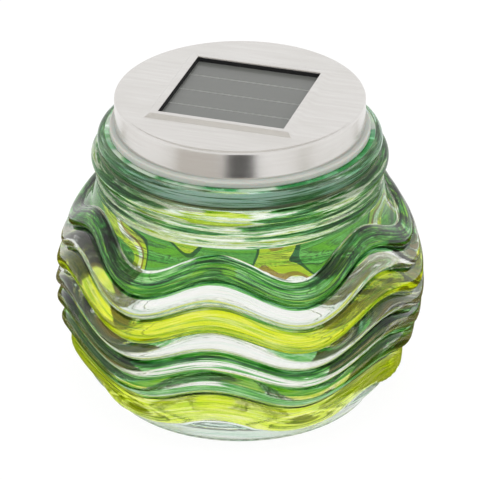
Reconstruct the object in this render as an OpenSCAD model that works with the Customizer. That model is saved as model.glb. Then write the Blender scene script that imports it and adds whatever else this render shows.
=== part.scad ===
// Solar jar light: a pressed glass jar with wavy ribs, and a plug-in lid that holds the solar panel,
// the battery, the driver board and the lamp. Millimetres, +Z up, the jar's foot on z = 0.

/* [Jar] */
// Height of the glass from its foot to the top of its lip
glass_h = 88; // [86:1:94]
// Radius of the belly over the rib crests
belly_r = 58.3; // [57:0.1:61]
// Radius of the bow that the rib crests follow from foot to neck
bow_r = 50; // [49:0.5:54]
// Radius of the flat foot
foot_r = 41; // [38:0.5:42]
// Radius of the mouth
mouth_r = 39.4; // [38.6:0.1:40]
// Thickness of the glass behind the valleys between the ribs
wall = 4.2; // [3:0.1:5]
// Thickness of the glass floor
floor_t = 7; // [5:0.5:9]

/* [Ribs] */
// How far the ribs stand out from the valleys
rib_relief = 2.8; // [1:0.1:3.2]
// Number of waves round the jar
wave_count = 6; // [4:1:9]
// Rise and fall of a wave about its mean height
wave_amp = 4.2; // [2:0.1:4.6]
// Angle of one wave crest, from +X towards +Y
wave_angle = 39.5; // [0:0.5:60]

/* [Lid] */
// Height of the steel cap's skirt
cap_h = 9.4; // [9:0.1:12]
// Thickness of the steel sheet
sheet = 0.6; // [0.4:0.1:0.6]
// Side of the square window over the solar panel
window = 39.7; // [36:0.1:41]
// Rise of the pressed pad round the window
pad_rise = 1; // [0.8:0.1:1.5]
// Thickness of the plug's flange, which rests on the lip
flange_t = 2.4; // [2:0.1:3]
// Depth of the plug below the lip
plug_depth = 8; // [8:0.5:11]

/* [Electrics] */
// Diameter of the rechargeable cell
battery_d = 10.5; // [10:0.1:10.5]
// Length of the cell over its positive tip
battery_l = 44.5; // [43:0.5:45]
// Diameter of an insulated wire
wire_d = 1.2; // [0.8:0.1:1.4]
// Travel of the switch knob
switch_travel = 4; // [2:0.5:4]

/* [Hidden] */
$fn = 96;
// Overrun of a cut past the face that it opens
over = 1;

// Glass: heights and radii of the neck, bead and lip
neck_z = glass_h - 18;
neck_r = mouth_r + 5.2;
collar_z = glass_h - 10;
collar_r = mouth_r + 4.4;
bead_z = glass_h - 8.3;
bead_round = 2.6;
lip_round = 2.4;
lip_r = mouth_r + 5;
neck_ring_round = 1;
neck_ring_stand = 0.4;
neck_ring_z = [for (i = [0 : 2]) neck_z + 2.2 + 1.8 * i];
push_up_r = foot_r - 7;
push_up_h = 1.5;

// Glass: the belly's bow, and the ribs from the shoulder down, whose heights share the ribbed stretch
belly_z = 0.415 * glass_h;
bow_x = belly_r - bow_r;
valley_bow = bow_r - rib_relief;
rib_share = [7.4, 6.9, 8, 5.9, 7.2, 8, 12.3];
rib_top = neck_z - 6.1;
rib_low = 8.2;
foot_wave = 0.83;
foot_edge = 1.2;
shoulder_r = neck_r + 0.4;
shoulder_slope = 0.27;
shoulder_h = 10;
foot_slope = 0.8;
foot_h = 9;
rib_roundness = 0.7;
rib_steps = 4;
around = 10 * wave_count;

// Lid: levels from the lip up
cap_r = mouth_r - 0.4;
cap_round = 0.9;
flange_r = mouth_r + 1.2;
flange_round = 0.6;
plug_r = mouth_r - 1.2;
cap_low = glass_h + flange_t;
cap_top = cap_low + cap_h;
pad_top = cap_top + pad_rise;
deck_top = cap_top - sheet;
pad_side = window + 4;
pad_flare = 1.4;
gasket_t = 1.1;
gasket_side = pad_side - 1.3;
cells_top = pad_top - sheet - gasket_t;
cells_t = 0.3;
cell_side = window + 1;
cell_count = 4;
cell_gap = 0.5;
board_side = window + 3.3;
board_t = 2.2;
board_low = cells_top - cells_t - board_t;
pocket_side = board_side + 0.4;

// Lid: the plug's inside
plug_low = glass_h - plug_depth;
plug_wall = 2.2;
deck_t = 2;
deck_low = deck_top - deck_t;
pocket_low = board_low - deck_t;
cover_t = 2;
cover_round = 0.5;
seal_low = glass_h - 6;
seal_h = 4;
seal_depth = 1;
seal_gap = 0.25;
seal_edge_r = mouth_r - 0.3;
seal_edge_round = 0.6;

// Lid: screws, their bosses, and the posts that hold the driver board
boss_ring = 31;
boss_r = 2.8;
boss_angles = [90, 210, 330];
pilot_r = 0.9;
pilot_depth = 8;
screw_r = 0.85;
screw_l = 6;
head_r = 2.1;
head_h = 1.2;
cross_w = 0.5;
cross_l = 2.4;
cross_depth = 0.5;
pcb_size = [44, 28, 1.6];
pcb_at = [0, -8];
pcb_low = glass_h - 4;
pcb_top = pcb_low + pcb_size.z;
post_r = 2.2;
post_pin_r = 1.1;
post_at = [[-18, -18], [18, -18], [8.5, 3]];
chip_size = [5, 4, 1.6];
chip_at = [7, -10];
coil_r = 3.2;
coil_waist_r = 2.2;
coil_h = 5;
coil_at = [-7, -13];

// Lid: the lamp, which hangs from the driver board through the cover
led_r = 2.5;
led_rim_r = 2.9;
led_rim_h = 1;
led_l = 8.7;
led_top = plug_low + 3.5;
led_hole_r = 2.8;
lead_r = 0.3;
lead_pitch = 2.54;

// Lid: the switch
switch_size = [12, 6, 4];
switch_at = [11, -13];
knob_size = [5, 3];
knob_gap = 0.3;
knob_low = plug_low - cover_t - 1.6;
knob_grooves = 2;
knob_groove = 0.6;

// Lid: the cell lies along X between its contacts
battery_y = 14;
battery_z = glass_h - 2;
tip_r = 2;
tip_l = 1.3;
tip_x = battery_l / 2 + 2.35;
cell_end_x = tip_x - battery_l;
contact_t = 0.4;
contact_w = 10;
contact_low = battery_z - 6;
contact_h = 12;
tab_w = 3;
tab_h = 3;
tab_low = battery_z + 2;
spring_l = 6;
spring_r = 3;
spring_wire = 0.7;
spring_turns = 2.5;
spring_rings = 12;
holder_t = 2;
saddle_x = [-12, 12];
saddle_t = 2;
saddle_w = 12;

// Wires: routes over the driver board, and the hole that the panel's pair comes down through. The pair's
// route is its place along Y and its share of the height from the driver board up to the panel
panel_hole_at = [-12, -2];
panel_hole_r = 2.6;
pair_pitch = 2;
panel_run = [[-2, 1], [-2, 0.73], [-3, 0.46], [-5, 0.24], [-5.5, 0.12], [-5.5, 0]];
tab_y = battery_y - contact_w / 2 - tab_w / 2;
tab_z = tab_low + tab_h / 2;
board_end = [14.5, -1];
wire_sides = 8;
wire_steps = 3;

// Mean height of rib edge i, counted down from the shoulder
function share_to(i) = i == 0 ? 0 : rib_share[i - 1] + share_to(i - 1);
function edge_mean(i) = rib_top - (rib_top - rib_low) * share_to(i) / share_to(len(rib_share));
// Height of rib edge i at angle a, on its wave
function edge_z(i, a) = edge_mean(i)
    + wave_amp * (i == len(rib_share) ? foot_wave : 1) * cos(wave_count * (a - wave_angle));
// Radius of the valleys at height z: the bow, or the straighter shoulder above it and foot below it
function valley_r(z) = max(
    bow_x + sqrt(max(0, valley_bow ^ 2 - (z - belly_z) ^ 2)),
    z > belly_z ? shoulder_r + shoulder_slope * min(neck_z - z, shoulder_h)
        : foot_r + 1 + foot_slope * min(z, foot_h));
// Point of the ribbed glass at angle a, a share t of the way down rib i
function rib_point(i, t, a) =
    let (z = (1 - t) * edge_z(i, a) + t * edge_z(min(i + 1, len(rib_share)), a),
         r = valley_r(z) + rib_relief * (4 * t * (1 - t)) ^ rib_roundness)
    [r * cos(a), r * sin(a), z];
function ring(r, z) = [for (k = [0 : around - 1])
    let (a = 360 * k / around) [r * cos(a), r * sin(a), z]];
function rib_ring(i, t) = [for (k = [0 : around - 1]) rib_point(i, t, 360 * k / around)];

// Smooth curve through the points p, with n steps between neighbours
function curve(p, n) = [
    for (i = [0 : len(p) - 2], s = [0 : n - 1])
        let (t = s / n, a = p[max(i - 1, 0)], b = p[i], c = p[i + 1], d = p[min(i + 2, len(p) - 1)])
        b + t * ((c - a) / 2 + t * (a - 2.5 * b + 2 * c - d / 2 + t * (1.5 * (b - c) + (d - a) / 2))),
    p[len(p) - 1]];
function unit(v) = v / norm(v);
function across(u, t) = unit(u - (u * t) * t);
function flat(lists) = [for (l = lists) each l];

// Closed skin over rings of equal count, with flat ends. Each ring runs clockwise about the way
// that the rings advance
module skin(rings) {
    n = len(rings[0]);
    m = len(rings);
    sides = [for (j = [0 : m - 2], k = [0 : n - 1])
        let (a = j * n + k, b = j * n + (k + 1) % n)
        each [[a, b, a + n], [b, b + n, a + n]]];
    ends = [[for (k = [n - 1 : -1 : 0]) k], [for (k = [0 : n - 1]) (m - 1) * n + k]];
    polyhedron(flat(rings), concat(sides, ends), convexity = 8);
}

// Round tube of diameter d along the points p, which leaves along the way out and ends along the way in
module tube(p, d, out, in) {
    last = len(p) - 1;
    t = [out, for (i = [1 : last - 1]) unit(p[i + 1] - p[i - 1]), in];
    u = [for (i = 0, v = across([0.3, 0.5, 0.8], t[0]); i <= last;
        i = i + 1, v = i > last ? v : across(v, t[i])) v];
    skin([for (i = [0 : last]) [for (k = [0 : wire_sides - 1])
        let (a = -360 * k / wire_sides)
        p[i] + d / 2 * (u[i] * cos(a) + cross(t[i], u[i]) * sin(a))]]);
}

// Square plate on the axis, from z = low to z = high
module plate(side, low, high) {
    translate([-side / 2, -side / 2, low]) cube([side, side, high - low]);
}

// Round bar from z = low to z = high at a place on the plan
module bar(r, low, high, at = [0, 0]) {
    translate([at.x, at.y, low]) cylinder(r = r, h = high - low);
}

// Round disc from z = low to z = high with rounded edges
module disc(r, low, high, round) {
    rotate_extrude() {
        translate([0, low]) square([r - round, high - low]);
        translate([0, low + round]) square([r, high - low - 2 * round]);
        for (z = [low + round, high - round]) translate([r - round, z]) circle(round);
    }
}

// Half section of a lid with a rounded outer edge
module lid_section(r, low, high, round) {
    translate([0, low]) square([r, high - low - round]);
    translate([0, low]) square([r - round, high - low]);
    translate([r - round, high - round]) circle(round);
}

// Square frustum of the pressed pad, drawn in by inset
module pad_form(low, high, inset) {
    base = pad_side + 2 * pad_flare - 2 * inset;
    top = pad_side - 2 * inset;
    skin([for (s = [[base, low], [top, high]])
        [for (c = [[1, 1], [1, -1], [-1, -1], [-1, 1]]) [c.x * s[0] / 2, c.y * s[0] / 2, s[1]]]]);
}

// Half section of the neck, its rings, the bead and the rolled lip
module neck_section() {
    translate([0, neck_z - 3]) square([neck_r, collar_z - neck_z + 3]);
    for (z = neck_ring_z)
        translate([neck_r + neck_ring_stand - neck_ring_round, z]) circle(neck_ring_round);
    translate([0, collar_z - over]) square([collar_r, glass_h - lip_round - collar_z + over]);
    translate([collar_r, bead_z]) circle(bead_round);
    translate([0, bead_z]) square([lip_r - lip_round, glass_h - bead_z]);
    translate([lip_r - lip_round, glass_h - lip_round]) circle(lip_round);
}

// Half section of the space in the jar
module space_section() {
    intersection() {
        translate([bow_x, belly_z]) circle(valley_bow - wall);
        translate([0, floor_t]) square([belly_r, neck_z - floor_t]);
    }
    translate([0, neck_z - 10]) square([mouth_r, glass_h - neck_z + 10 + over]);
}

module jar() {
    color([0.45, 0.72, 0.2, 0.6]) difference() {
        union() {
            skin(concat(
                [ring(shoulder_r, neck_z)],
                [for (i = [0 : len(rib_share) - 1], s = [0 : rib_steps - 1]) rib_ring(i, s / rib_steps)],
                [rib_ring(len(rib_share), 0), ring(foot_r + 1 + foot_slope * foot_edge, foot_edge),
                    ring(foot_r, 0)]));
            rotate_extrude() neck_section();
        }
        rotate_extrude() space_section();
        bar(push_up_r, -over, push_up_h);
    }
}

module lid_cap() {
    color("silver") difference() {
        union() {
            rotate_extrude() lid_section(cap_r, cap_low, cap_top, cap_round);
            pad_form(cap_top - sheet / 2, pad_top, 0);
        }
        rotate_extrude() lid_section(cap_r - sheet, cap_low - over, cap_top - sheet, cap_round - sheet / 2);
        pad_form(cap_top - sheet, pad_top - sheet, sheet);
        plate(pad_side + 2 * pad_flare - 2 * sheet, cap_top - 2 * sheet, cap_top - sheet);
        plate(window, cap_low, pad_top + over);
    }
}

module panel_gasket() {
    color("black") difference() {
        plate(gasket_side, cells_top, cells_top + gasket_t);
        plate(window, cells_top - over, cells_top + gasket_t + over);
    }
}

module solar_board() {
    color("darkslategray") plate(board_side, board_low, board_low + board_t);
}

module solar_cells() {
    strip = (cell_side - (cell_count - 1) * cell_gap) / cell_count;
    color("dimgray") for (i = [0 : cell_count - 1])
        translate([-cell_side / 2, i * (strip + cell_gap) - cell_side / 2, cells_top - cells_t])
            cube([cell_side, strip, cells_t]);
}

module housing_shell() {
    difference() {
        union() {
            disc(flange_r, glass_h, cap_low, flange_round);
            rotate_extrude() lid_section(plug_r, plug_low, deck_top, cap_round);
        }
        difference() {
            bar(plug_r - plug_wall, plug_low - over, deck_low);
            plate(pocket_side + 2 * deck_t, pocket_low, deck_top);
        }
        plate(pocket_side, board_low, deck_top + over);
        difference() {
            bar(plug_r + over, seal_low, seal_low + seal_h);
            bar(plug_r - seal_depth, seal_low - over, seal_low + seal_h + over);
        }
        bar(panel_hole_r, pocket_low - over, board_low + over, panel_hole_at);
    }
}

// Upright block behind a battery contact, with its face at x
module contact_holder(x) {
    translate([x, battery_y - contact_w / 2, contact_low])
        cube([holder_t, contact_w, deck_low + over - contact_low]);
}

module housing() {
    color("honeydew") difference() {
        union() {
            housing_shell();
            for (a = boss_angles)
                rotate(a) bar(boss_r, plug_low, deck_low + over, [boss_ring, 0]);
            for (p = post_at) {
                bar(post_r, pcb_top, pocket_low + over, p);
                bar(post_pin_r, pcb_low - 0.6, pcb_top + over, p);
            }
            contact_holder(tip_x + contact_t);
            contact_holder(cell_end_x - spring_l - contact_t - holder_t);
        }
        for (a = boss_angles)
            rotate(a) bar(pilot_r, plug_low - over, plug_low + pilot_depth, [boss_ring, 0]);
    }
}

module seal_ring() {
    inner = plug_r - seal_depth + seal_gap;
    low = seal_low + seal_gap;
    high = seal_low + seal_h - seal_gap;
    color("whitesmoke") rotate_extrude() {
        translate([inner, low]) square([seal_edge_r - seal_edge_round - inner, high - low]);
        for (z = [low + seal_edge_round, high - seal_edge_round])
            translate([seal_edge_r - seal_edge_round, z]) circle(seal_edge_round);
    }
}

module bottom_cover() {
    slot = [knob_size.x + switch_travel + 2 * knob_gap, knob_size.y + 2 * knob_gap];
    rim_r = plug_r - plug_wall - 0.3;
    color("ivory") difference() {
        union() {
            disc(plug_r, plug_low - cover_t, plug_low, cover_round);
            difference() {
                bar(rim_r, plug_low - over, plug_low + 2);
                bar(rim_r - 1.5, plug_low - 2 * over, plug_low + 2 + over);
            }
            for (x = saddle_x)
                translate([x - saddle_t / 2, battery_y - saddle_w / 2, plug_low - over])
                    cube([saddle_t, saddle_w, battery_z - plug_low + over]);
        }
        translate([saddle_x[0] - saddle_t, battery_y, battery_z]) rotate([0, 90, 0])
            cylinder(d = battery_d + 0.2, h = saddle_x[1] - saddle_x[0] + 2 * saddle_t);
        bar(led_hole_r, plug_low - cover_t - over, plug_low + over);
        for (a = boss_angles) rotate(a) {
            bar(screw_r + 0.4, plug_low - cover_t - over, plug_low + over, [boss_ring, 0]);
            bar(head_r + 0.2, plug_low - cover_t - over, plug_low - cover_t + head_h, [boss_ring, 0]);
        }
        translate([switch_at.x - slot.x / 2, switch_at.y - slot.y / 2, plug_low - cover_t - over])
            cube([slot.x, slot.y, cover_t + 2 * over]);
    }
}

module cover_screws() {
    low = plug_low - cover_t;
    color("gainsboro") for (a = boss_angles) rotate(a) difference() {
        union() {
            bar(head_r, low, low + head_h, [boss_ring, 0]);
            bar(screw_r, low, low + head_h + screw_l, [boss_ring, 0]);
        }
        for (turn = [0, 90]) translate([boss_ring, 0, low]) rotate(turn)
            cube([cross_l, cross_w, 2 * cross_depth], center = true);
    }
}

module circuit_board() {
    color("darkgreen") difference() {
        translate([pcb_at.x - pcb_size.x / 2, pcb_at.y - pcb_size.y / 2, pcb_low]) cube(pcb_size);
        for (p = post_at) bar(post_pin_r + 0.15, pcb_low - over, pcb_top + over, p);
        for (s = [-1, 1])
            bar(lead_r + 0.1, pcb_low - over, pcb_top + over, [s * lead_pitch / 2, 0]);
    }
}

module driver_chip() {
    color("black") translate([chip_at.x - chip_size.x / 2, chip_at.y - chip_size.y / 2, pcb_top])
        cube(chip_size);
}

module inductor() {
    flange_h = coil_h / 5;
    color("sienna") {
        bar(coil_r, pcb_top, pcb_top + flange_h, coil_at);
        bar(coil_waist_r, pcb_top, pcb_top + coil_h, coil_at);
        bar(coil_r, pcb_top + coil_h - flange_h, pcb_top + coil_h, coil_at);
    }
}

module led_lens() {
    tip = led_top - led_l;
    color("white") {
        bar(led_rim_r, led_top - led_rim_h, led_top);
        bar(led_r, tip + led_r, led_top);
        translate([0, 0, tip + led_r]) sphere(led_r);
    }
}

module led_leads() {
    color("silver") for (s = [-1, 1])
        bar(lead_r, led_top, pcb_top, [s * lead_pitch / 2, 0]);
}

module battery() {
    color("limegreen") translate([cell_end_x, battery_y, battery_z]) rotate([0, 90, 0]) {
        cylinder(d = battery_d, h = battery_l - tip_l);
        cylinder(r = tip_r, h = battery_l);
    }
}

// The spring's turns ease in and out between straight ends, which stand square to the plate and the cell
function spring_point(x, turn) =
    [cell_end_x - spring_l + x, battery_y + spring_r * cos(turn), battery_z + spring_r * sin(turn)];
spring_coil_l = spring_l - 2 * spring_wire;
spring_path = [
    spring_point(0, 0),
    for (i = [0 : spring_turns * spring_rings])
        let (t = i / (spring_turns * spring_rings))
        spring_point(spring_wire + spring_coil_l * t, 360 * spring_turns * t ^ 2 * (3 - 2 * t)),
    spring_point(spring_l, 360 * spring_turns)];
spring_gap = min([for (i = [0 : len(spring_path) - 1], j = [0 : len(spring_path) - 1])
    if (j - i > spring_rings / 2) norm(spring_path[j] - spring_path[i]) - spring_wire]);
echo(str("least gap between the spring's turns: ", spring_gap, " mm"));

module battery_spring() {
    color("silver") tube(spring_path, spring_wire, [1, 0, 0], [1, 0, 0]);
}

// Contact plate whose face towards the holder is at x, with its tab beside the cell
module contact_plate(x) {
    translate([x, battery_y - contact_w / 2, contact_low]) cube([contact_t, contact_w, contact_h]);
    translate([x, battery_y - contact_w / 2 - tab_w, tab_low]) cube([contact_t, tab_w + over, tab_h]);
}

module spring_plate() {
    color("lightgray") contact_plate(cell_end_x - spring_l - contact_t);
}

module battery_contact() {
    color("lightgray") contact_plate(tip_x);
}

module switch_body() {
    slot = [knob_size.x + switch_travel + 2 * knob_gap, knob_size.y + 2 * knob_gap, 2.6];
    color("dimgray") translate([switch_at.x, switch_at.y, pcb_low - switch_size.z]) difference() {
        translate([-switch_size.x / 2, -switch_size.y / 2, 0]) cube(switch_size);
        translate([-slot.x / 2, -slot.y / 2, -over]) cube([slot.x, slot.y, slot.z + over]);
    }
}

module switch_knob() {
    high = pcb_low - switch_size.z + 2.3;
    color("black") translate([switch_at.x - switch_travel / 2, switch_at.y, knob_low]) difference() {
        translate([-knob_size.x / 2, -knob_size.y / 2, 0])
            cube([knob_size.x, knob_size.y, high - knob_low]);
        for (i = [1 : knob_grooves])
            translate([(i / (knob_grooves + 1) - 0.5) * knob_size.x, 0, 0])
                cube([knob_groove, knob_size.y + over, knob_groove], center = true);
    }
}

// One wire of the panel's pair, on side -1 or 1 of the hole
module panel_wire(side) {
    x = panel_hole_at.x + side * pair_pitch / 2;
    route = [for (p = panel_run) [x, p[0], pcb_top + p[1] * (board_low - pcb_top)]];
    tube(curve(route, wire_steps), wire_d, [0, 0, -1], [0, 0, -1]);
}

// Wire from the inner face of a contact's tab at x to the driver board
module battery_wire(x) {
    s = sign(x);
    end = [s * board_end.x, board_end.y];
    route = [[x, tab_y, tab_z], [x - 3 * s, tab_y, tab_z], [x - 6 * s, tab_y - 2, tab_z],
        [end.x + 2 * s, end.y + 2, tab_z - 1], [end.x, end.y, pcb_top + 2.5], [end.x, end.y, pcb_top]];
    tube(curve(route, wire_steps), wire_d, [-s, 0, 0], [0, 0, -1]);
}

module panel_wire_red() { color("red") panel_wire(-1); }
module panel_wire_black() { color("black") panel_wire(1); }
module battery_wire_red() { color("red") battery_wire(tip_x); }
module battery_wire_black() { color("black") battery_wire(cell_end_x - spring_l); }

jar();
lid_cap();
panel_gasket();
solar_board();
solar_cells();
housing();
seal_ring();
bottom_cover();
cover_screws();
circuit_board();
driver_chip();
inductor();
led_lens();
led_leads();
battery();
battery_spring();
spring_plate();
battery_contact();
switch_body();
switch_knob();
panel_wire_red();
panel_wire_black();
battery_wire_red();
battery_wire_black();
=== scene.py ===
import math

import bpy
import numpy as np
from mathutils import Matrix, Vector


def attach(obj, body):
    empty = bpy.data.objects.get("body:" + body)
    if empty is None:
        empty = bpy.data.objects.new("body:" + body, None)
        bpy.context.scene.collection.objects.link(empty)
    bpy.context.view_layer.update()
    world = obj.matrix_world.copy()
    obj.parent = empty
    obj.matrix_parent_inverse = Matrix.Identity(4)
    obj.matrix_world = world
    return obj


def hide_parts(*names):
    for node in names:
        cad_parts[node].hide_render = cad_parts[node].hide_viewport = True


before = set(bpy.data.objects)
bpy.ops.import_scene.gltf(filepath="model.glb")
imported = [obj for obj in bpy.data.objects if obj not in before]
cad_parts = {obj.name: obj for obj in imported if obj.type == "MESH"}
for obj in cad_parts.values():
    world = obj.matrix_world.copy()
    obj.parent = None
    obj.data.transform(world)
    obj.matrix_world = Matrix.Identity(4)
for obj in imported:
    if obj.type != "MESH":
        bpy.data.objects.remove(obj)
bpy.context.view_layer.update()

# Sizes of the glass, in millimetres, the same as the solid's
MM = 0.001
GLASS_H = 88
BELLY_R, BOW_R, BELLY_Z = 58.3, 50, 36.52
MOUTH_R, FOOT_R, WALL, FLOOR_T = 39.4, 41, 4.2, 7
RIB_RELIEF, RIB_ROUNDNESS = 2.8, 0.7
RIB_SHARES = [7.4, 6.9, 8, 5.9, 7.2, 8, 12.3]
RIB_TOP, RIB_LOW = 63.9, 8.2
WAVES, WAVE_AMP, WAVE_ANGLE, FOOT_WAVE = 6, 4.2, 39.5, 0.83
NECK_Z, NECK_R, SHOULDER_R, SHOULDER_SLOPE, SHOULDER_H = 70, 44.6, 45.0, 0.27, 10
FOOT_EDGE, FOOT_FLARE, FOOT_SLOPE, FOOT_H = 1.2, 1, 0.8, 9
BEAD_R, BEAD_Z, BEAD_ROUND = 43.8, 79.7, 2.6
LIP_R, LIP_ROUND = 44.4, 2.4
NECK_RINGS, NECK_RING_ROUND, NECK_RING_STAND = [72.2, 74.0, 75.8], 1, 0.4
PUSH_UP_R, PUSH_UP_H = 34, 1.5

# Rounds of the glass at the mouth, the throat and the floor's corner, in millimetres, and grip ridges
# under the foot, with their turn in radians
MOUTH_ROUND, THROAT, CORNER = 0.8, 3, 10
GRIP_RIDGES, GRIP_DEPTH, GRIP_IN, GRIP_OUT, GRIP_EDGE, GRIP_TURN = 72, 0.1, 36, 40.6, 0.2, 0.8

# Sizes of the pressed cap, in millimetres
CAP_R, CAP_LOW, CAP_TOP, CAP_ROUND, SHEET = 39, 90.4, 99.8, 0.9, 0.6
WINDOW, WINDOW_ROUND, WINDOW_FLARE, PAD_RISE = 40.2, 0.3, 0.8, 1.0

# How finely the pieces are drawn: rings and steps of the half sections, and points round the pieces
JAR_SEGMENTS, RIB_RINGS, PLAIN_RINGS, MOUTH_RINGS, FLOOR_RINGS, UNDER_RINGS = 288, 12, 8, 6, 6, 6
SMALL_STEPS, ROUND_STEPS, BOW_STEPS, CORNER_STEPS, PUSH_UP_STEPS = 6, 14, 36, 10, 4
CAP_LOOP, CAP_STEPS, WINDOW_CUTS = 96, 7, 5

# How near two places count as one, in millimetres
SAME, HAIR, NEAR, CLOSE, SLACK = 0.001, 0.01, 0.05, 0.1, 0.2

# The camera: where it looks, how far it stands off, how it is turned, and its lens and sensor
TARGET = Vector((0, 0, 48.57)) * MM
CAMERA_AWAY, CAMERA_AZIMUTH, CAMERA_ELEVATION = 1.1937, 17.45, 28.63
LENS, SENSOR = 283.7, 36


def towards(azimuth, elevation):
    """The way from the object to a place round it, with azimuth 0 on the -Y side."""
    a, e = math.radians(azimuth), math.radians(elevation)
    return Vector((math.sin(a) * math.cos(e), -math.cos(a) * math.cos(e), math.sin(e)))


def linear(code):
    """A colour from its hexadecimal screen code."""
    screen = [int(code[i:i + 2], 16) / 255 for i in (0, 2, 4)]
    return (*[c / 12.92 if c <= 0.04045 else ((c + 0.055) / 1.055) ** 2.4 for c in screen], 1)


# Shaders

class Value:
    """A node's output. Arithmetic on it adds Math nodes."""

    def __init__(self, nodes, socket):
        self.nodes, self.socket = nodes, socket

    def math(self, operation, *values):
        return self.nodes.add("Math", dict(enumerate(values)), operation=operation)

    def __add__(self, other):
        return self.math("ADD", self, other)

    def __sub__(self, other):
        return self.math("SUBTRACT", self, other)

    def __rsub__(self, other):
        return self.math("SUBTRACT", other, self)

    def __mul__(self, other):
        return self.math("MULTIPLY", self, other)

    def __truediv__(self, other):
        return self.math("DIVIDE", self, other)

    __radd__, __rmul__ = __add__, __mul__


class Nodes:
    """A node tree that is written as expressions."""

    def __init__(self, tree):
        self.tree = tree

    def add(self, kind, inputs=None, out=0, stops=None, **settings):
        """Adds a node: its settings and a ramp's stops first, then the values or links of its sockets."""
        node = self.tree.nodes.new("ShaderNode" + kind)
        for name, value in settings.items():
            setattr(node.color_ramp if stops and hasattr(node.color_ramp, name) else node, name, value)
        for i, (place, colour) in enumerate(stops or []):
            elements = node.color_ramp.elements
            element = elements[i] if i < len(elements) else elements.new(place)
            element.position, element.color = place, colour
        for key, value in (inputs or {}).items():
            self.feed(node.inputs[key], value)
        return Value(self, node.outputs[out])

    def feed(self, socket, value):
        if isinstance(value, Value):
            self.tree.links.new(value.socket, socket)
        else:
            socket.default_value = value

    def mix(self, factor, a, b):
        return self.add("Mix", {0: factor, 6: a, 7: b}, out=2, data_type="RGBA")

    def place(self, scale=(1, 1, 1), shift=(0, 0, 0)):
        point = self.add("TexCoord", out="Object")
        return self.add("Mapping", {"Vector": point, "Scale": scale, "Location": shift})

    def noise(self, place, scale, detail=2, roughness=0.5):
        inputs = {"Vector": place, "Scale": scale, "Detail": detail, "Roughness": roughness}
        return self.add("TexNoise", inputs, out="Fac")

    def span(self, value, low, high, to_low=0, to_high=1):
        """Maps a value smoothly from one range to another, and holds it at the ends."""
        inputs = {"Value": value, "From Min": low, "From Max": high, "To Min": to_low, "To Max": to_high}
        return self.add("MapRange", inputs, interpolation_type="SMOOTHSTEP")

    def bump(self, height, strength, distance):
        return self.add("Bump", {"Height": height, "Strength": strength, "Distance": distance})


class Finish(Nodes):
    """A material with one Principled shader, whose constants are set on its own sockets."""

    def __init__(self, name, **constants):
        self.material = bpy.data.materials.new(name)
        self.material.use_nodes = True
        super().__init__(self.material.node_tree)
        self.set(**constants)

    def set(self, **values):
        shader = self.tree.nodes["Principled BSDF"]
        for name, value in values.items():
            self.feed(shader.inputs[name.replace("_", " ")], value)
        return self.material

    def blend(self, factor, other):
        """Mixes another shader into the Principled one."""
        shader = Value(self, self.tree.nodes["Principled BSDF"].outputs[0])
        both = self.add("MixShader", {0: factor, 1: shader, 2: other})
        self.feed(self.tree.nodes["Material Output"].inputs["Surface"], both)
        return self.material


# Places on the glass: these, then the ribs counted down from the shoulder, and the foot
FIRST_PLACE, PLACES = -2, 10
INNER_PLACE, RIM_PLACE, GROOVE_SHADE_PLACE, LIP_PLACE, NECK_PLACE = -2, -1.7, -1.5, -1.25, -1

# Stains of the glass, beside those of the streaks in them, and the near-black painted shade of the groove
# above the bead
INSIDE = (1, 1, 1, 1)
RIM, RIM_STREAK = (0.9, 1, 0.94, 1), (0.1, 0.5, 0.2, 1)
# The groove between the bead and the lip is painted near black: painted shade in the crease.
GROOVE_SHADE = (0.05, 0.09, 0.01, 1)
LIP, LIP_STREAK = (0.62, 0.88, 0.78, 1), (0.06, 0.24, 0.07, 1)
NECK, NECK_STREAK = (0.90, 0.98, 0.86, 1), (0.002, 0.07, 0.004, 1)
CLEAR, CLOUDED = (0.97, 0.97, 0.94, 1), (0.86, 0.92, 0.86, 1)
# The second of these is the deep streak of the green stain, and also painted valley shade in thin bands
# between ribs.
GREEN, DARK_GREEN = (0.030, 0.270, 0.012, 1), (0.001, 0.030, 0.002, 1)
PALE_GREEN = (0.06, 0.34, 0.05, 1)
YELLOW, OLIVE = (0.68, 0.80, 0.001, 1), (0.36, 0.58, 0.004, 1)
LIME, LIME_STREAK = (0.84, 0.97, 0.05, 1), (0.62, 0.80, 0.02, 1)
# Of these, the second is a dark olive used only in thin bands along the valleys between ribs: painted valley
# shade.
BROWN, VALLEY_SHADE = (0.20, 0.12, 0.01, 1), (0.10, 0.20, 0.008, 1)
FOOT, FOOT_STREAK = (0.94, 0.99, 0.96, 1), (0.66, 0.88, 0.76, 1)

# Stain and streak of the glass from a place on. The groove's row and the thin dark bands that straddle the
# valleys between ribs are painted shade, not stain.
STAINS = [
    (-2, INSIDE, INSIDE), (-1.8, RIM, RIM_STREAK), (-1.6, GROOVE_SHADE, GROOVE_SHADE), (-1.4, LIP, LIP_STREAK),
    (-1.1, NECK, NECK_STREAK),
    # Rows that straddle a valley between ribs (0.93, 1.94, 2.92, 3.94, 4.94, 5.95) lay painted valley shade.
    (0, GREEN, DARK_GREEN), (0.93, DARK_GREEN, DARK_GREEN),
    (1.02, PALE_GREEN, GREEN), (1.07, CLEAR, CLOUDED), (1.94, VALLEY_SHADE, GREEN),
    (2.04, YELLOW, OLIVE), (2.92, VALLEY_SHADE, GREEN),
    (2.98, CLEAR, CLOUDED), (3.94, DARK_GREEN, GREEN),
    (4.03, GREEN, DARK_GREEN), (4.25, CLEAR, PALE_GREEN), (4.75, PALE_GREEN, GREEN),
    (4.94, GREEN, DARK_GREEN),
    (5.02, PALE_GREEN, GREEN), (5.2, CLEAR, PALE_GREEN), (5.42, PALE_GREEN, GREEN),
    (5.7, CLEAR, PALE_GREEN), (5.95, VALLEY_SHADE, GREEN),
    (6.04, LIME, LIME_STREAK), (6.96, FOOT, FOOT_STREAK),
]

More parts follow.
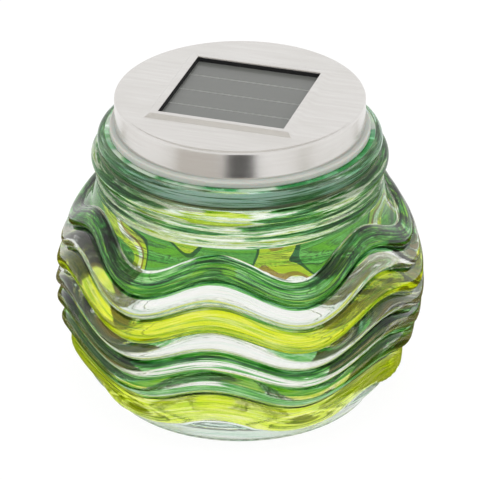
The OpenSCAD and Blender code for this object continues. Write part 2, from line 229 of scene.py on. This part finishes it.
# Tint of the cloudy part of the glass from a place on, with its share as the fourth number
CLOUDS = [
    (-2, (1, 1, 1, 0)), (-1.8, (0.95, 1, 0.95, 0.4)), (-1.6, (1, 1, 1, 0.1)),
    (-1.4, (0.73, 0.9, 0.87, 0.15)), (-1.1, (0.95, 1, 0.9, 0.22)), (-0.98, (1, 1, 1, 0.1)),
    (0, (0.82, 0.84, 0.5, 0.06)), (1, (0.9, 0.9, 0.8, 0.03)), (2, (0.82, 0.84, 0.5, 0.08)),
    (3, (0.9, 0.9, 0.8, 0.03)), (4, (0.82, 0.84, 0.5, 0.06)), (6.04, (0.95, 1, 0.8, 0.3)),
    (6.96, (0.97, 1, 0.97, 0.2)),
]

# Colours of the neck by its streaks, and of the shoulder by its patches
NECK_STREAKS = [(0.39, OLIVE), (0.44, NECK), (0.52, NECK), (0.56, PALE_GREEN), (0.64, NECK_STREAK)]
SHOULDER = [
    (0, GREEN), (0.44, DARK_GREEN), (0.46, OLIVE), (0.5, BROWN), (0.52, NECK), (0.56, OLIVE), (0.6, GREEN),
]

# Draw lines in the glass: how many to a rib and to a millimetre of the neck, how they run along it, and
# how far they carry a stain over its edge
RIB_LINES, NECK_LINES, LINE_RUN, STAIN_WANDER = 11, 2, (45, 45, 0), 0.12

# The slow change from pale to green round the jar, partly stain and partly painted shade: its scale and
# place, and what it does to neck and lip
# Its place is chosen so that the greener stretches fall towards the sides of the neck and lip as the camera
# sees them, as painted shade for the darker edges of thick glass.
SLOW_SCALE, SLOW_SHIFT = (18, 18, 18), (2.7, 2.7, 0)
NECK_GREENER, LIP_GREENER, LIP_PALER = 0.08, 2.75, 0.06

# Scales of the neck's streaks and of the shoulder's patches
STREAK_SCALE, PATCH_SCALE = (36, 36, 650), 42


def ribbed_glass():
    """Clear pressed glass with fine draw lines along its ribs, stained green and yellow in streaks, with
    painted shade in the valleys between ribs and in the groove above the bead.
    """
    glass = Finish("ribbed_glass", Transmission_Weight=1, IOR=1.5, Roughness=0.01, Specular_IOR_Level=0.12)
    rib = glass.add("Attribute", out="Fac", attribute_name="rib")
    point = glass.add("TexCoord", out="Object")
    height = glass.add("SeparateXYZ", {0: point}, out="Z") / MM
    rise = RIB_LINES * rib + NECK_LINES * height * glass.span(height, NECK_Z, NECK_Z + 0.5)
    along = glass.add("VectorMath", {0: point, 1: LINE_RUN}, operation="MULTIPLY")
    lines = glass.add("VectorMath", {0: along, 1: glass.add("CombineXYZ", {"Z": rise})}, operation="ADD")
    draw = glass.noise(lines, 1, 3)
    place = (rib - FIRST_PLACE + STAIN_WANDER * (draw - 0.5)) / PLACES

    def from_place(rows, out="Color"):
        """Holds each row's colour from its place on."""
        stops = [((first - FIRST_PLACE) / PLACES, colour) for first, colour in rows]
        return glass.add("ValToRGB", {"Fac": place}, out=out, stops=stops, interpolation="CONSTANT")

    # Where the lip, the neck and the shoulder are
    lip = glass.span(rib, -1.1, -1.05, 1, 0)
    neck = glass.span(rib, -1.1, -1.05) * glass.span(rib, -1, -0.98, 1, 0)
    shoulder = glass.span(rib, -0.98, -0.96) * glass.span(rib, -0.02, 0, 1, 0)

    # The stains with their streaks and painted shade, then the neck, deeper and paler stretches, and the
    # shoulder
    main = from_place([(first, stain) for first, stain, _ in STAINS])
    streak = from_place([(first, stain) for first, _, stain in STAINS])
    # Greener stretches of neck and lip: partly stain, partly painted edge shade.
    green_stain_and_edge_shade = glass.span(glass.noise(glass.place(SLOW_SCALE, SLOW_SHIFT), 1, 1), 0.5, 0.62, 0, NECK_GREENER)
    streaky = glass.span(draw + lip * (LIP_GREENER * green_stain_and_edge_shade - LIP_PALER), 0.47, 0.57)
    bands = glass.noise(glass.place(STREAK_SCALE), 1, 4, 0.6)
    neck_colour = glass.add("ValToRGB", {"Fac": bands + green_stain_and_edge_shade}, stops=NECK_STREAKS)
    colour = glass.mix(neck, glass.mix(streaky, main, streak), neck_colour)
    depth = glass.span(glass.noise(lines, 2.3, 2), 0.35, 0.65, 0.5, 1.6)
    colour = glass.add("Gamma", {"Color": colour, "Gamma": depth})
    patch = glass.noise(point, PATCH_SCALE, 1)
    patches = glass.add("ValToRGB", {"Fac": patch}, stops=SHOULDER, interpolation="CONSTANT")
    colour = glass.mix(shoulder, colour, patches)
    glass.set(Base_Color=colour, Normal=glass.bump(draw, 0.22, 0.0002))

    # The cloudy part
    tint, share = from_place(CLOUDS), from_place(CLOUDS, "Alpha")
    body = glass.add("VectorMath", {0: colour, 1: tint}, operation="MULTIPLY")
    skin = glass.add("BsdfPrincipled", {"Base Color": body, "Roughness": 0.3, "Specular IOR Level": 0})
    return glass.blend(share, skin)


# Patterns of the other finishes, in repeats to a metre
BRUSH_TOP, BRUSH_SKIRT, HANDLING = (40, 700, 700), (40, 40, 900), (40, 90, 90)
FOAM_CELLS, COLLECTOR_LINES, CELL_CLOUD, BOARD_GRAIN = 2600, (20, 900, 900), 70, 900
MOULD_GRAIN, MOULD_CLOUD = 1500, 90
DRAW_MARKS, TARNISH = (400, 400, 2500), 220
WEAVE, MASK_CLOUD = 400, 200


def brushed_steel():
    """Stainless sheet, brushed along X on the top and round the skirt, and clouded from handling."""
    steel = Finish("brushed_steel", Metallic=1)
    height = steel.add("SeparateXYZ", {0: steel.add("TexCoord", out="Object")}, out="Z") / MM
    flat = steel.noise(steel.place(BRUSH_TOP), 1, 4)
    skirt = steel.noise(steel.place(BRUSH_SKIRT), 1, 4)
    lines = steel.add("Mix", {0: steel.span(height, CAP_TOP - 1, CAP_TOP - 0.2), 2: skirt, 3: flat})
    cloud = steel.noise(steel.place(HANDLING), 1, 3)
    colour = steel.mix(steel.span(lines, 0.3, 0.7), linear("dbd8d5"), linear("e0dedb"))
    colour = steel.mix(steel.span(cloud, 0.35, 0.75, 0, 0.4), colour, linear("d0cdc8"))
    return steel.set(Base_Color=colour, Roughness=0.2 + 0.06 * lines, Normal=steel.bump(lines, 0.03, 0.0001))


def black_foam():
    """Matt black foam with small open cells."""
    foam = Finish("black_foam")
    cells = foam.add("TexVoronoi", {"Vector": foam.place(), "Scale": FOAM_CELLS}, out="Distance")
    colour = foam.mix(cells, linear("0c0c0d"), linear("1d1d1e"))
    return foam.set(Base_Color=colour, Roughness=0.85 + 0.1 * cells, Normal=foam.bump(cells, 0.5, 0.0002))


def cell_glaze():
    """Grey thin-film cells under resin, with very fine collector lines, and painted light on their sides,
    which face into the narrow gaps between cells.
    """
    cell = Finish("cell_glaze", Coat_Weight=0.4, Coat_Roughness=0.08, Roughness=0.4)
    lines = cell.noise(cell.place(COLLECTOR_LINES), 1, 2)
    cloud = cell.noise(cell.place(), CELL_CLOUD, 2)
    colour = cell.mix(0.5 * lines + 0.5 * cloud, linear("5a5c59"), linear("646663"))
    # Faces that do not face up, the cells' sides in the gaps, are painted pale: painted light against the
    # shade in the gaps.
    level = cell.add("SeparateXYZ", {0: cell.add("NewGeometry", out="Normal")}, out="Z")
    return cell.set(Base_Color=cell.mix(cell.span(level, 0.4, 0.6), linear("b8bab7"), colour))


def panel_laminate():
    """The pale board that shows as fine lines between the cells."""
    board = Finish("panel_laminate", Coat_Weight=0.4, Coat_Roughness=0.1)
    grain = board.noise(board.place(), BOARD_GRAIN, 3)
    colour = board.mix(grain, linear("b0b2af"), linear("bec0bd"))
    return board.set(Base_Color=colour, Roughness=0.4 + 0.2 * grain)


def moulded(name, dark, light, roughness, **constants):
    """Moulded plastic or rubber: a spark-eroded grain, and slight clouding in its colour."""
    plastic = Finish(name, **constants)
    grain = plastic.noise(plastic.place(), MOULD_GRAIN, 2)
    cloud = plastic.noise(plastic.place(), MOULD_CLOUD, 2)
    colour = plastic.mix(0.7 * cloud + 0.3 * grain, linear(dark), linear(light))
    rough = roughness - 0.06 + 0.12 * grain
    return plastic.set(Base_Color=colour, Roughness=rough, Normal=plastic.bump(grain, 0.15, 0.0001))


def plated(name, dark, light, roughness):
    """Plated or bare metal with fine draw marks and a little tarnish."""
    metal = Finish(name, Metallic=1)
    marks = metal.noise(metal.place(DRAW_MARKS), 1, 2)
    tarnish = metal.noise(metal.place(), TARNISH, 3)
    colour = metal.mix(0.5 * marks + 0.5 * tarnish, linear(dark), linear(light))
    rough = roughness + 0.15 * tarnish
    return metal.set(Base_Color=colour, Roughness=rough, Normal=metal.bump(marks, 0.1, 0.00005))


def solder_mask():
    """Green circuit board: the glass weave shows faintly through the mask."""
    board = Finish("solder_mask", Coat_Weight=0.3, Coat_Roughness=0.2)
    across = board.add("TexWave", {"Vector": board.place(), "Scale": WEAVE}, bands_direction="X")
    along = board.add("TexWave", {"Vector": board.place(), "Scale": WEAVE}, bands_direction="Y")
    cloud = board.noise(board.place(), MASK_CLOUD, 2)
    colour = board.mix(0.5 * cloud + 0.25 * (across + along), linear("0f5a2c"), linear("1d7a3c"))
    return board.set(Base_Color=colour, Roughness=0.4 + 0.1 * cloud)


# The finish of each material slot
FINISHES = {
    "jar_glass": ribbed_glass(),
    "steel": brushed_steel(),
    "foam": black_foam(),
    "panel_board": panel_laminate(),
    "solar_cell": cell_glaze(),
    # The frosted plastic is set a darker grey than its own pale white: painted shade for the flange under the
    # cap.
    "frosted_plastic": moulded("frosted_plastic", "a8aca6", "babeb8", 0.42, Subsurface_Weight=0.25,
                               Subsurface_Scale=0.004),
    "silicone": moulded("silicone", "dfe3e1", "eef0ee", 0.5, Subsurface_Weight=0.2, Subsurface_Scale=0.003),
    "cover_plastic": moulded("cover_plastic", "dcdad2", "e8e6de", 0.4),
    "plated_steel": plated("plated_steel", "a9abad", "c9cacb", 0.25),
    "circuit_green": solder_mask(),
    "black_plastic": moulded("black_plastic", "101011", "1c1c1d", 0.45),
    "ferrite": moulded("ferrite", "26211f", "3a3330", 0.6),
    "led_resin": moulded("led_resin", "e9ebea", "f4f5f4", 0.15, Transmission_Weight=0.8, IOR=1.52),
    "battery_sleeve": moulded("battery_sleeve", "3d8f34", "58ab45", 0.3),
    "switch_plastic": moulded("switch_plastic", "2b2c2e", "3a3b3d", 0.5),
    "wire_red": moulded("wire_red", "a41414", "c22420", 0.4),
    "wire_black": moulded("wire_black", "141415", "222223", 0.4),
}


# Modelling by hand

def start(name, add, **size):
    """Adds a primitive with nothing else selected, and opens it for editing."""
    bpy.ops.object.select_all(action="DESELECT")
    add(**size)
    piece = bpy.context.object
    piece.name = piece.data.name = name
    bpy.ops.object.mode_set(mode="EDIT")
    return piece


def end(piece, smooth_angle):
    """Closes a piece: leaves edit mode, puts its place into its mesh and smooths it."""
    bpy.ops.object.mode_set(mode="OBJECT")
    bpy.ops.object.transform_apply(location=True, rotation=True, scale=True)
    bpy.ops.object.shade_smooth_by_angle(angle=math.radians(smooth_angle))
    return piece


def fit(piece, body, slot, *nodes):
    """Lets a piece ride on its body in place of its nodes, in its slot's finish."""
    piece.data.materials.clear()
    piece.data.materials.append(FINISHES[slot])
    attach(piece, body)
    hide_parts(*nodes)


def arc(r, z, radius, first, last, steps):
    """Points of an arc about (r, z) in a half section, from one angle to another, in degrees."""
    angles = np.radians(np.linspace(first, last, steps + 1))
    return [(r + radius * math.cos(a), z + radius * math.sin(a)) for a in angles]


def turn(name, outline, segments):
    """Draws a half section point by point, from the axis to the axis, and spins it about Z."""
    points = [Vector((r, 0, z)) * MM for r, z in outline]
    piece = start(name, bpy.ops.mesh.primitive_plane_add, size=MM)
    bpy.ops.mesh.merge(type="CENTER")
    bpy.ops.transform.translate(value=points[0])
    for a, b in zip(points, points[1:]):
        bpy.ops.mesh.extrude_region_move(TRANSFORM_OT_translate={"value": b - a})
    bpy.ops.mesh.select_all(action="SELECT")
    bpy.ops.mesh.spin(steps=segments, angle=2 * math.pi, center=(0, 0, 0), axis=(0, 0, 1))
    bpy.ops.mesh.select_all(action="SELECT")
    bpy.ops.mesh.remove_doubles(threshold=SAME * MM)
    bpy.ops.mesh.normals_make_consistent(inside=False)
    return piece


# The jar

EDGES = RIB_TOP - (RIB_TOP - RIB_LOW) * np.cumsum([0] + RIB_SHARES) / sum(RIB_SHARES)


def valley_radius(z):
    """Radius of the valleys between the ribs: the bow, or the straighter shoulder and foot beyond it."""
    bow = BELLY_R - BOW_R + np.sqrt(np.maximum(0, (BOW_R - RIB_RELIEF) ** 2 - (z - BELLY_Z) ** 2))
    shoulder = SHOULDER_R + SHOULDER_SLOPE * np.minimum(NECK_Z - z, SHOULDER_H)
    foot = FOOT_R + FOOT_FLARE + FOOT_SLOPE * np.minimum(z, FOOT_H)
    return np.maximum(bow, np.where(z > BELLY_Z, shoulder, foot))


def rib_place(z):
    """Which rib a level height is on, counted down from the shoulder, with its share of the way down."""
    heights = [0, *EDGES[::-1], NECK_Z]
    return np.interp(z, heights, [len(EDGES), *range(len(EDGES) - 1, -1, -1), NECK_PLACE])


def rib_stand(place):
    """How far a rib stands out of its valleys."""
    share = np.where((place > 0) & (place < len(EDGES) - 1), place % 1, 0)
    return RIB_RELIEF * (4 * share * (1 - share)) ** RIB_ROUNDNESS


def rib_levels():
    """Level heights of the rings on the ribs, closer together at the valleys."""
    shares = 0.5 - 0.5 * np.cos(np.pi * np.arange(RIB_RINGS) / RIB_RINGS)
    rings = [low + (high - low) * s for low, high in zip(EDGES[::-1], EDGES[-2::-1]) for s in shares]
    below = np.linspace(FOOT_EDGE, RIB_LOW, PLAIN_RINGS + 1)[:-1]
    above = np.linspace(RIB_TOP, NECK_Z, PLAIN_RINGS + 1)
    return [*below, *rings, *above]


def neck_outline():
    """The outside from the fold at the shoulder up over the rings, the bead and the lip."""
    rings = []
    reach = math.sqrt(NECK_RING_ROUND ** 2 - (NECK_RING_ROUND - NECK_RING_STAND) ** 2)
    tilt = math.degrees(math.asin(reach / NECK_RING_ROUND))
    for z in NECK_RINGS:
        rings += arc(NECK_R + NECK_RING_STAND - NECK_RING_ROUND, z, NECK_RING_ROUND, -tilt, tilt, SMALL_STEPS)
    under = -math.degrees(math.acos((NECK_R - BEAD_R) / BEAD_ROUND))
    lip_low = -math.degrees(math.acos((BEAD_R - LIP_R + LIP_ROUND) / LIP_ROUND))
    return [
        (NECK_R + 0.1, NECK_Z + 0.5),
        *rings,
        *arc(BEAD_R, BEAD_Z, BEAD_ROUND, under, 80, ROUND_STEPS),
        (BEAD_R + 0.1, BEAD_Z + BEAD_ROUND + 0.2),
        (BEAD_R, BEAD_Z + BEAD_ROUND + 0.6),
        *arc(LIP_R - LIP_ROUND, GLASS_H - LIP_ROUND, LIP_ROUND, lip_low, 90, ROUND_STEPS),
    ]


def inside_outline():
    """The inside from the rounded mouth down the bow to the middle of the floor."""
    bow, centre = BOW_R - RIB_RELIEF - WALL, BELLY_R - BOW_R
    mouth_z = GLASS_H - MOUTH_ROUND
    throat_z = BELLY_Z + math.sqrt((bow + THROAT) ** 2 - (MOUTH_R + THROAT - centre) ** 2)
    throat_turn = math.degrees(math.atan2(throat_z - BELLY_Z, MOUTH_R + THROAT - centre))
    corner_r = centre + math.sqrt((bow - CORNER) ** 2 - (BELLY_Z - FLOOR_T - CORNER) ** 2)
    corner_turn = math.degrees(math.atan2(FLOOR_T + CORNER - BELLY_Z, corner_r - centre))
    return [
        *arc(MOUTH_R + MOUTH_ROUND, mouth_z, MOUTH_ROUND, 90, 180, SMALL_STEPS),
        *[(MOUTH_R, z) for z in np.linspace(mouth_z, throat_z, MOUTH_RINGS + 2)[1:-1]],
        *arc(MOUTH_R + THROAT, throat_z, THROAT, 180, 180 + throat_turn, SMALL_STEPS),
        *arc(centre, BELLY_Z, bow, throat_turn, corner_turn, BOW_STEPS)[1:-1],
        *arc(corner_r, FLOOR_T + CORNER, CORNER, corner_turn, -90, CORNER_STEPS),
        *[(r, FLOOR_T) for r in np.linspace(corner_r, 0, FLOOR_RINGS + 1)[1:]],
    ]


def foot_outline():
    """The underside from the middle of the push-up out over the foot to its rounded edge."""
    step = PUSH_UP_H / 2
    edge_r = FOOT_R + FOOT_FLARE + FOOT_SLOPE * FOOT_EDGE
    return [
        *[(r, PUSH_UP_H) for r in np.linspace(0, PUSH_UP_R - PUSH_UP_H, UNDER_RINGS)],
        *arc(PUSH_UP_R - PUSH_UP_H, step, step, 90, 0, PUSH_UP_STEPS)[1:],
        *arc(PUSH_UP_R, step, step, 180, 270, PUSH_UP_STEPS)[1:],
        *[(r, 0) for r in (GRIP_IN - GRIP_EDGE, GRIP_IN, GRIP_OUT, GRIP_OUT + GRIP_EDGE)],
        *arc(edge_r - FOOT_EDGE, FOOT_EDGE, FOOT_EDGE, -90, 0, SMALL_STEPS)[:-1],
    ]


def glass_places(radius, level, outside):
    """Each point's place on the glass: inside, rim, the groove above the bead with its painted shade, lip,
    neck, rib or foot.
    """
    groove = BEAD_Z + BEAD_ROUND
    above = np.where(level > groove, LIP_PLACE, NECK_PLACE)
    place = np.where((radius > MOUTH_R + CLOSE) & (level >= NECK_Z), above, INNER_PLACE)
    place[(level > GLASS_H - 0.4) & (radius < LIP_R - LIP_ROUND + 0.3)] = RIM_PLACE
    # A thin band just above the bead, in the crease under the lip, is marked for painted shade.
    place[(level > groove) & (level < groove + 1) & (radius > NECK_R - 1)] = GROOVE_SHADE_PLACE
    place[(level < FOOT_EDGE) & (radius > GRIP_OUT + CLOSE)] = len(EDGES)
    return np.where(outside, rib_place(level), place)


def glass_jar():
    """The jar: its half section is spun, then the outside is set into wavy ribs and the foot into ridges."""
    ribs = [(float(valley_radius(z) + rib_stand(rib_place(z))), float(z)) for z in rib_levels()]
    jar = turn("glass_jar", [*foot_outline(), *ribs, *neck_outline(), *inside_outline()], JAR_SEGMENTS)
    bpy.ops.object.mode_set(mode="OBJECT")
    points = np.empty(len(jar.data.vertices) * 3)
    jar.data.vertices.foreach_get("co", points)
    x, y, level = (points.reshape(-1, 3) / MM).T
    radius, angle = np.hypot(x, y), np.arctan2(y, x)
    outside = (radius > valley_radius(level) - SLACK) & (level > FOOT_EDGE - HAIR) & (level < NECK_Z + HAIR)
    place = glass_places(radius, level, outside)
    swing = np.interp(level, [FOOT_EDGE, RIB_LOW, EDGES[-2], RIB_TOP, NECK_Z], [0, FOOT_WAVE, 1, 1, 0])
    wave = np.cos(WAVES * (angle - math.radians(WAVE_ANGLE)))
    z = np.where(outside, level + WAVE_AMP * swing * wave, level)
    r = np.where(outside, valley_radius(z) + rib_stand(place), radius)
    under = (level < HAIR) & (radius > GRIP_IN - CLOSE) & (radius < GRIP_OUT + CLOSE)
    z = np.where(under & (np.cos(GRIP_RIDGES * angle + GRIP_TURN) > 0), GRIP_DEPTH, z)
    moved = np.stack([r * np.cos(angle), r * np.sin(angle), z], 1) * MM
    jar.data.vertices.foreach_set("co", moved.ravel())
    jar.data.attributes.new("rib", "FLOAT", "POINT").data.foreach_set("value", place.astype(np.float32))
    jar.data.update()
    end(jar, smooth_angle=75)
    fit(jar, "jar", "jar_glass", "jar")


# The lid

def grow(side_now, side, z_now, z):
    """Extrudes the selected loop to another size and height."""
    bpy.ops.mesh.extrude_region_move(TRANSFORM_OT_translate={"value": (0, 0, (z - z_now) * MM)})
    bpy.ops.transform.resize(value=(side / side_now, side / side_now, 1))


def run(loops):
    """Extrudes the selected loop through a list of (size, height)."""
    for (side_now, z_now), (side, z) in zip(loops, loops[1:]):
        grow(side_now, side, z_now, z)


def pick(piece, wanted):
    """Selects the edges whose two ends are both wanted, and nothing else, and opens the piece for editing."""
    bpy.ops.object.mode_set(mode="OBJECT")
    mesh = piece.data
    chosen = [wanted(v.co / MM) for v in mesh.vertices]
    for v in mesh.vertices:
        v.select = False
    for f in mesh.polygons:
        f.select = False
    for e in mesh.edges:
        e.select = all(chosen[i] for i in e.vertices)
    bpy.ops.object.mode_set(mode="EDIT")


def window_loop():
    """A square of the window's size with rounded corners, cut into as many edges as the cap's round edge."""
    cap = start("pressed_cap", bpy.ops.mesh.primitive_plane_add, size=WINDOW * MM)
    bpy.ops.mesh.delete(type="ONLY_FACE")
    bpy.ops.mesh.select_all(action="SELECT")
    bpy.ops.mesh.bevel(affect="VERTICES", offset=WINDOW_ROUND * MM, segments=WINDOW_CUTS)
    bpy.ops.object.mode_set(mode="OBJECT")
    for e in cap.data.edges:
        a, b = (cap.data.vertices[i].co for i in e.vertices)
        e.select = (a - b).length > WINDOW * MM / 2
    for v in cap.data.vertices:
        v.select = False
    bpy.ops.object.mode_set(mode="EDIT")
    bpy.ops.mesh.subdivide(number_cuts=CAP_LOOP // 4 - WINDOW_CUTS - 1)
    bpy.ops.mesh.select_all(action="SELECT")
    return cap


def pressed_cap():
    """One sheet: the window and its raised pad, the flat top, the rounded edge and the skirt."""
    top = CAP_TOP + PAD_RISE
    low = top - SHEET + 0.1
    pad = [(WINDOW, low), (WINDOW, top - 0.12), (WINDOW + 0.24, top), (WINDOW + 3.4, top),
           (WINDOW + 4.2, top - 0.1), (WINDOW + 5.4, top - 0.5), (WINDOW + 6.6, CAP_TOP + 0.1),
           (WINDOW + 7.4, CAP_TOP)]
    rim = arc(CAP_R - CAP_ROUND, CAP_TOP - CAP_ROUND, CAP_ROUND, 90, 0, CAP_STEPS)
    skirt = [(CAP_R, z) for z in (CAP_TOP - CAP_ROUND - 0.3, CAP_LOW + 2, CAP_LOW)]
    cap = window_loop()
    bpy.ops.transform.translate(value=(0, 0, low * MM))
    run(pad)
    rim_r, rim_z = rim[0]
    bpy.ops.mesh.primitive_circle_add(vertices=CAP_LOOP, radius=rim_r * MM, location=(0, 0, rim_z * MM))
    pick(cap, lambda v: abs(v.z - CAP_TOP) < SAME)
    bpy.ops.mesh.bridge_edge_loops()
    pick(cap, lambda v: abs(v.z - CAP_TOP) < SAME and v.xy.length > rim_r - HAIR)
    run([*rim, *skirt])
    bpy.ops.mesh.select_all(action="SELECT")
    bpy.ops.mesh.normals_make_consistent(inside=False)
    bpy.ops.object.mode_set(mode="OBJECT")
    sheet = cap.modifiers.new("sheet", "SOLIDIFY")
    sheet.thickness, sheet.offset = SHEET * MM, -1
    bpy.ops.object.modifier_apply(modifier=sheet.name)
    pick(cap, lambda v: max(abs(v.x), abs(v.y)) < WINDOW / 2 + NEAR and v.z < low + NEAR)
    flare = 1 + WINDOW_FLARE / WINDOW
    bpy.ops.transform.resize(value=(flare, flare, 1))
    end(cap, smooth_angle=40)
    fit(cap, "lid", "steel", "lid_cap")


# Studio, in metres

WHITE = (1, 1, 1, 1)
LOW_WALL, CEILING = (0.55, 0.52, 0.45, 1), (0.7, 0.69, 0.67, 1)
SIDE_LOW, SIDE_HIGH = (0.2, 0.14, 0.02, 1), (0.66, 0.65, 0.63, 1)
FLOOR_WHITE, FLOOR_GLOW, GLOW_SHARE = (0.9, 0.9, 0.9, 1), 1.04, 0.9
FLOOR_SIZE, FLOOR_DROP = 12, 0.0001
CARD_LIFT, CEILING_H, SOFTBOX_AWAY = 0.0005, 1.2, 0.9
# Shade of the side cards: the jar's coloured shadow on the floor, painted on sheets.
SIDE_SHADE = (0.12, 0.085, 0.004, 1)

# Cards: name, azimuth from the camera's, how far off, width, depth, shade and height
CARDS = [
    ("ceiling_card", 0, 0, 2, 2, (0.85, 0.84, 0.82, 1), CEILING_H),
    ("dark_card", 0, 0.25, 0.095, 0.2, (0.01, 0.0095, 0.009, 1), CARD_LIFT),
    ("grey_card", -35, 0.2, 0.15, 0.16, (0.5, 0.475, 0.45, 1), CARD_LIFT),
    # The two side cards are dark sheets beside the jar, seen through the glass and in the steel: a painted
    # shadow of the jar on the floor.
    ("left_card", -90, 0.106, 0.24, 0.12, SIDE_SHADE, CARD_LIFT),
    ("right_card", 90, 0.106, 0.24, 0.12, SIDE_SHADE, CARD_LIFT),
]

# Softboxes: name, azimuth, elevation, width and height, and power
SOFTBOXES = [
    ("top_softbox", 20, 75, (0.5, 0.5), 3),
    ("left_softbox", -60, 20, (0.25, 0.7), 2.5),
    ("right_softbox", 95, 20, (0.25, 0.7), 2.5),
]


def camera():
    """The camera, at the photograph's angle."""
    bpy.ops.object.camera_add(location=TARGET + CAMERA_AWAY * towards(CAMERA_AZIMUTH, CAMERA_ELEVATION))
    eye = bpy.context.object
    eye.rotation_euler = (TARGET - eye.location).to_track_quat("-Z", "Y").to_euler()
    eye.data.lens, eye.data.sensor_width = LENS, SENSOR
    bpy.context.scene.camera = eye


def seen(nodes):
    """1 for a ray that shows the background: straight, mirrored or through glass."""
    kinds = ("Is Camera Ray", "Is Glossy Ray", "Is Transmission Ray")
    straight, mirrored, through = [nodes.add("LightPath", out=kind) for kind in kinds]
    return straight.math("MAXIMUM", straight.math("MAXIMUM", straight, mirrored), through)


def room():
    """A white room. Its light on matt surfaces is dimmer from overhead, from low down and from the sides."""
    world = bpy.data.worlds.new("room")
    bpy.context.scene.world = world
    world.use_nodes = True
    nodes = Nodes(world.node_tree)
    way = nodes.add("TexCoord", out="Generated")
    rise = nodes.add("SeparateXYZ", {0: way}, out="Z")
    right = towards(CAMERA_AZIMUTH + 90, 0)
    side = nodes.add("VectorMath", {0: way, 1: right}, out="Value", operation="DOT_PRODUCT")
    colour = nodes.mix(nodes.span(rise, 0.05, 0.35), LOW_WALL, WHITE)
    colour = nodes.mix(nodes.span(rise, 0.6, 0.9), colour, CEILING)
    dark = nodes.mix(nodes.span(rise, 0.08, 0.3), SIDE_LOW, SIDE_HIGH)
    colour = nodes.mix(nodes.span(side * side, 0.12, 0.5), colour, dark)
    colour = nodes.mix(seen(nodes), colour, WHITE)
    nodes.feed(world.node_tree.nodes["Background"].inputs["Color"], colour)


def floor():
    """A white floor just under the foot, which keeps a little of the jar's shadow."""
    bpy.ops.object.select_all(action="DESELECT")
    bpy.ops.mesh.primitive_plane_add(size=FLOOR_SIZE, location=(0, 0, -FLOOR_DROP))
    ground = bpy.context.object
    ground.name = "floor"
    white = Finish("white_floor", Base_Color=FLOOR_WHITE, Roughness=0.8)
    glow = white.add("Emission", {"Color": WHITE, "Strength": FLOOR_GLOW})
    ground.data.materials.append(white.blend(GLOW_SHARE * seen(white), glow))


def flag(name, azimuth, away, width, depth, shade, height):
    """A card that lies on the floor or hangs overhead, and shows only in the glass and the steel."""
    bpy.ops.object.select_all(action="DESELECT")
    bearing = CAMERA_AZIMUTH + azimuth
    spot = away * towards(bearing, 0) + Vector((0, 0, height))
    bpy.ops.mesh.primitive_plane_add(size=1, location=spot, rotation=(0, 0, math.radians(bearing)))
    card = bpy.context.object
    card.name = name
    bpy.ops.transform.resize(value=(width, depth, 1), orient_type="LOCAL")
    card.data.materials.append(Finish(name, Base_Color=shade, Roughness=1).material)
    card.visible_camera = card.visible_diffuse = card.visible_shadow = False


def softbox(name, azimuth, elevation, size, power):
    """A soft lamp that faces the jar and isn't seen in it."""
    bpy.ops.object.light_add(type="AREA", location=TARGET + SOFTBOX_AWAY * towards(azimuth, elevation))
    lamp = bpy.context.object
    lamp.name = name
    lamp.rotation_euler = (TARGET - lamp.location).to_track_quat("-Z", "Y").to_euler()
    lamp.data.shape = "RECTANGLE"
    lamp.data.size, lamp.data.size_y = size
    lamp.data.energy = power
    lamp.visible_camera = lamp.visible_glossy = lamp.visible_transmission = False


camera()
room()
floor()
for row in CARDS:
    flag(*row)
for row in SOFTBOXES:
    softbox(*row)
glass_jar()
pressed_cap()
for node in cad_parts.values():
    for holder in node.material_slots:
        holder.material = FINISHES[holder.material.name]

bpy.context.scene.view_settings.view_transform = "Standard"
bpy.context.view_layer.update()
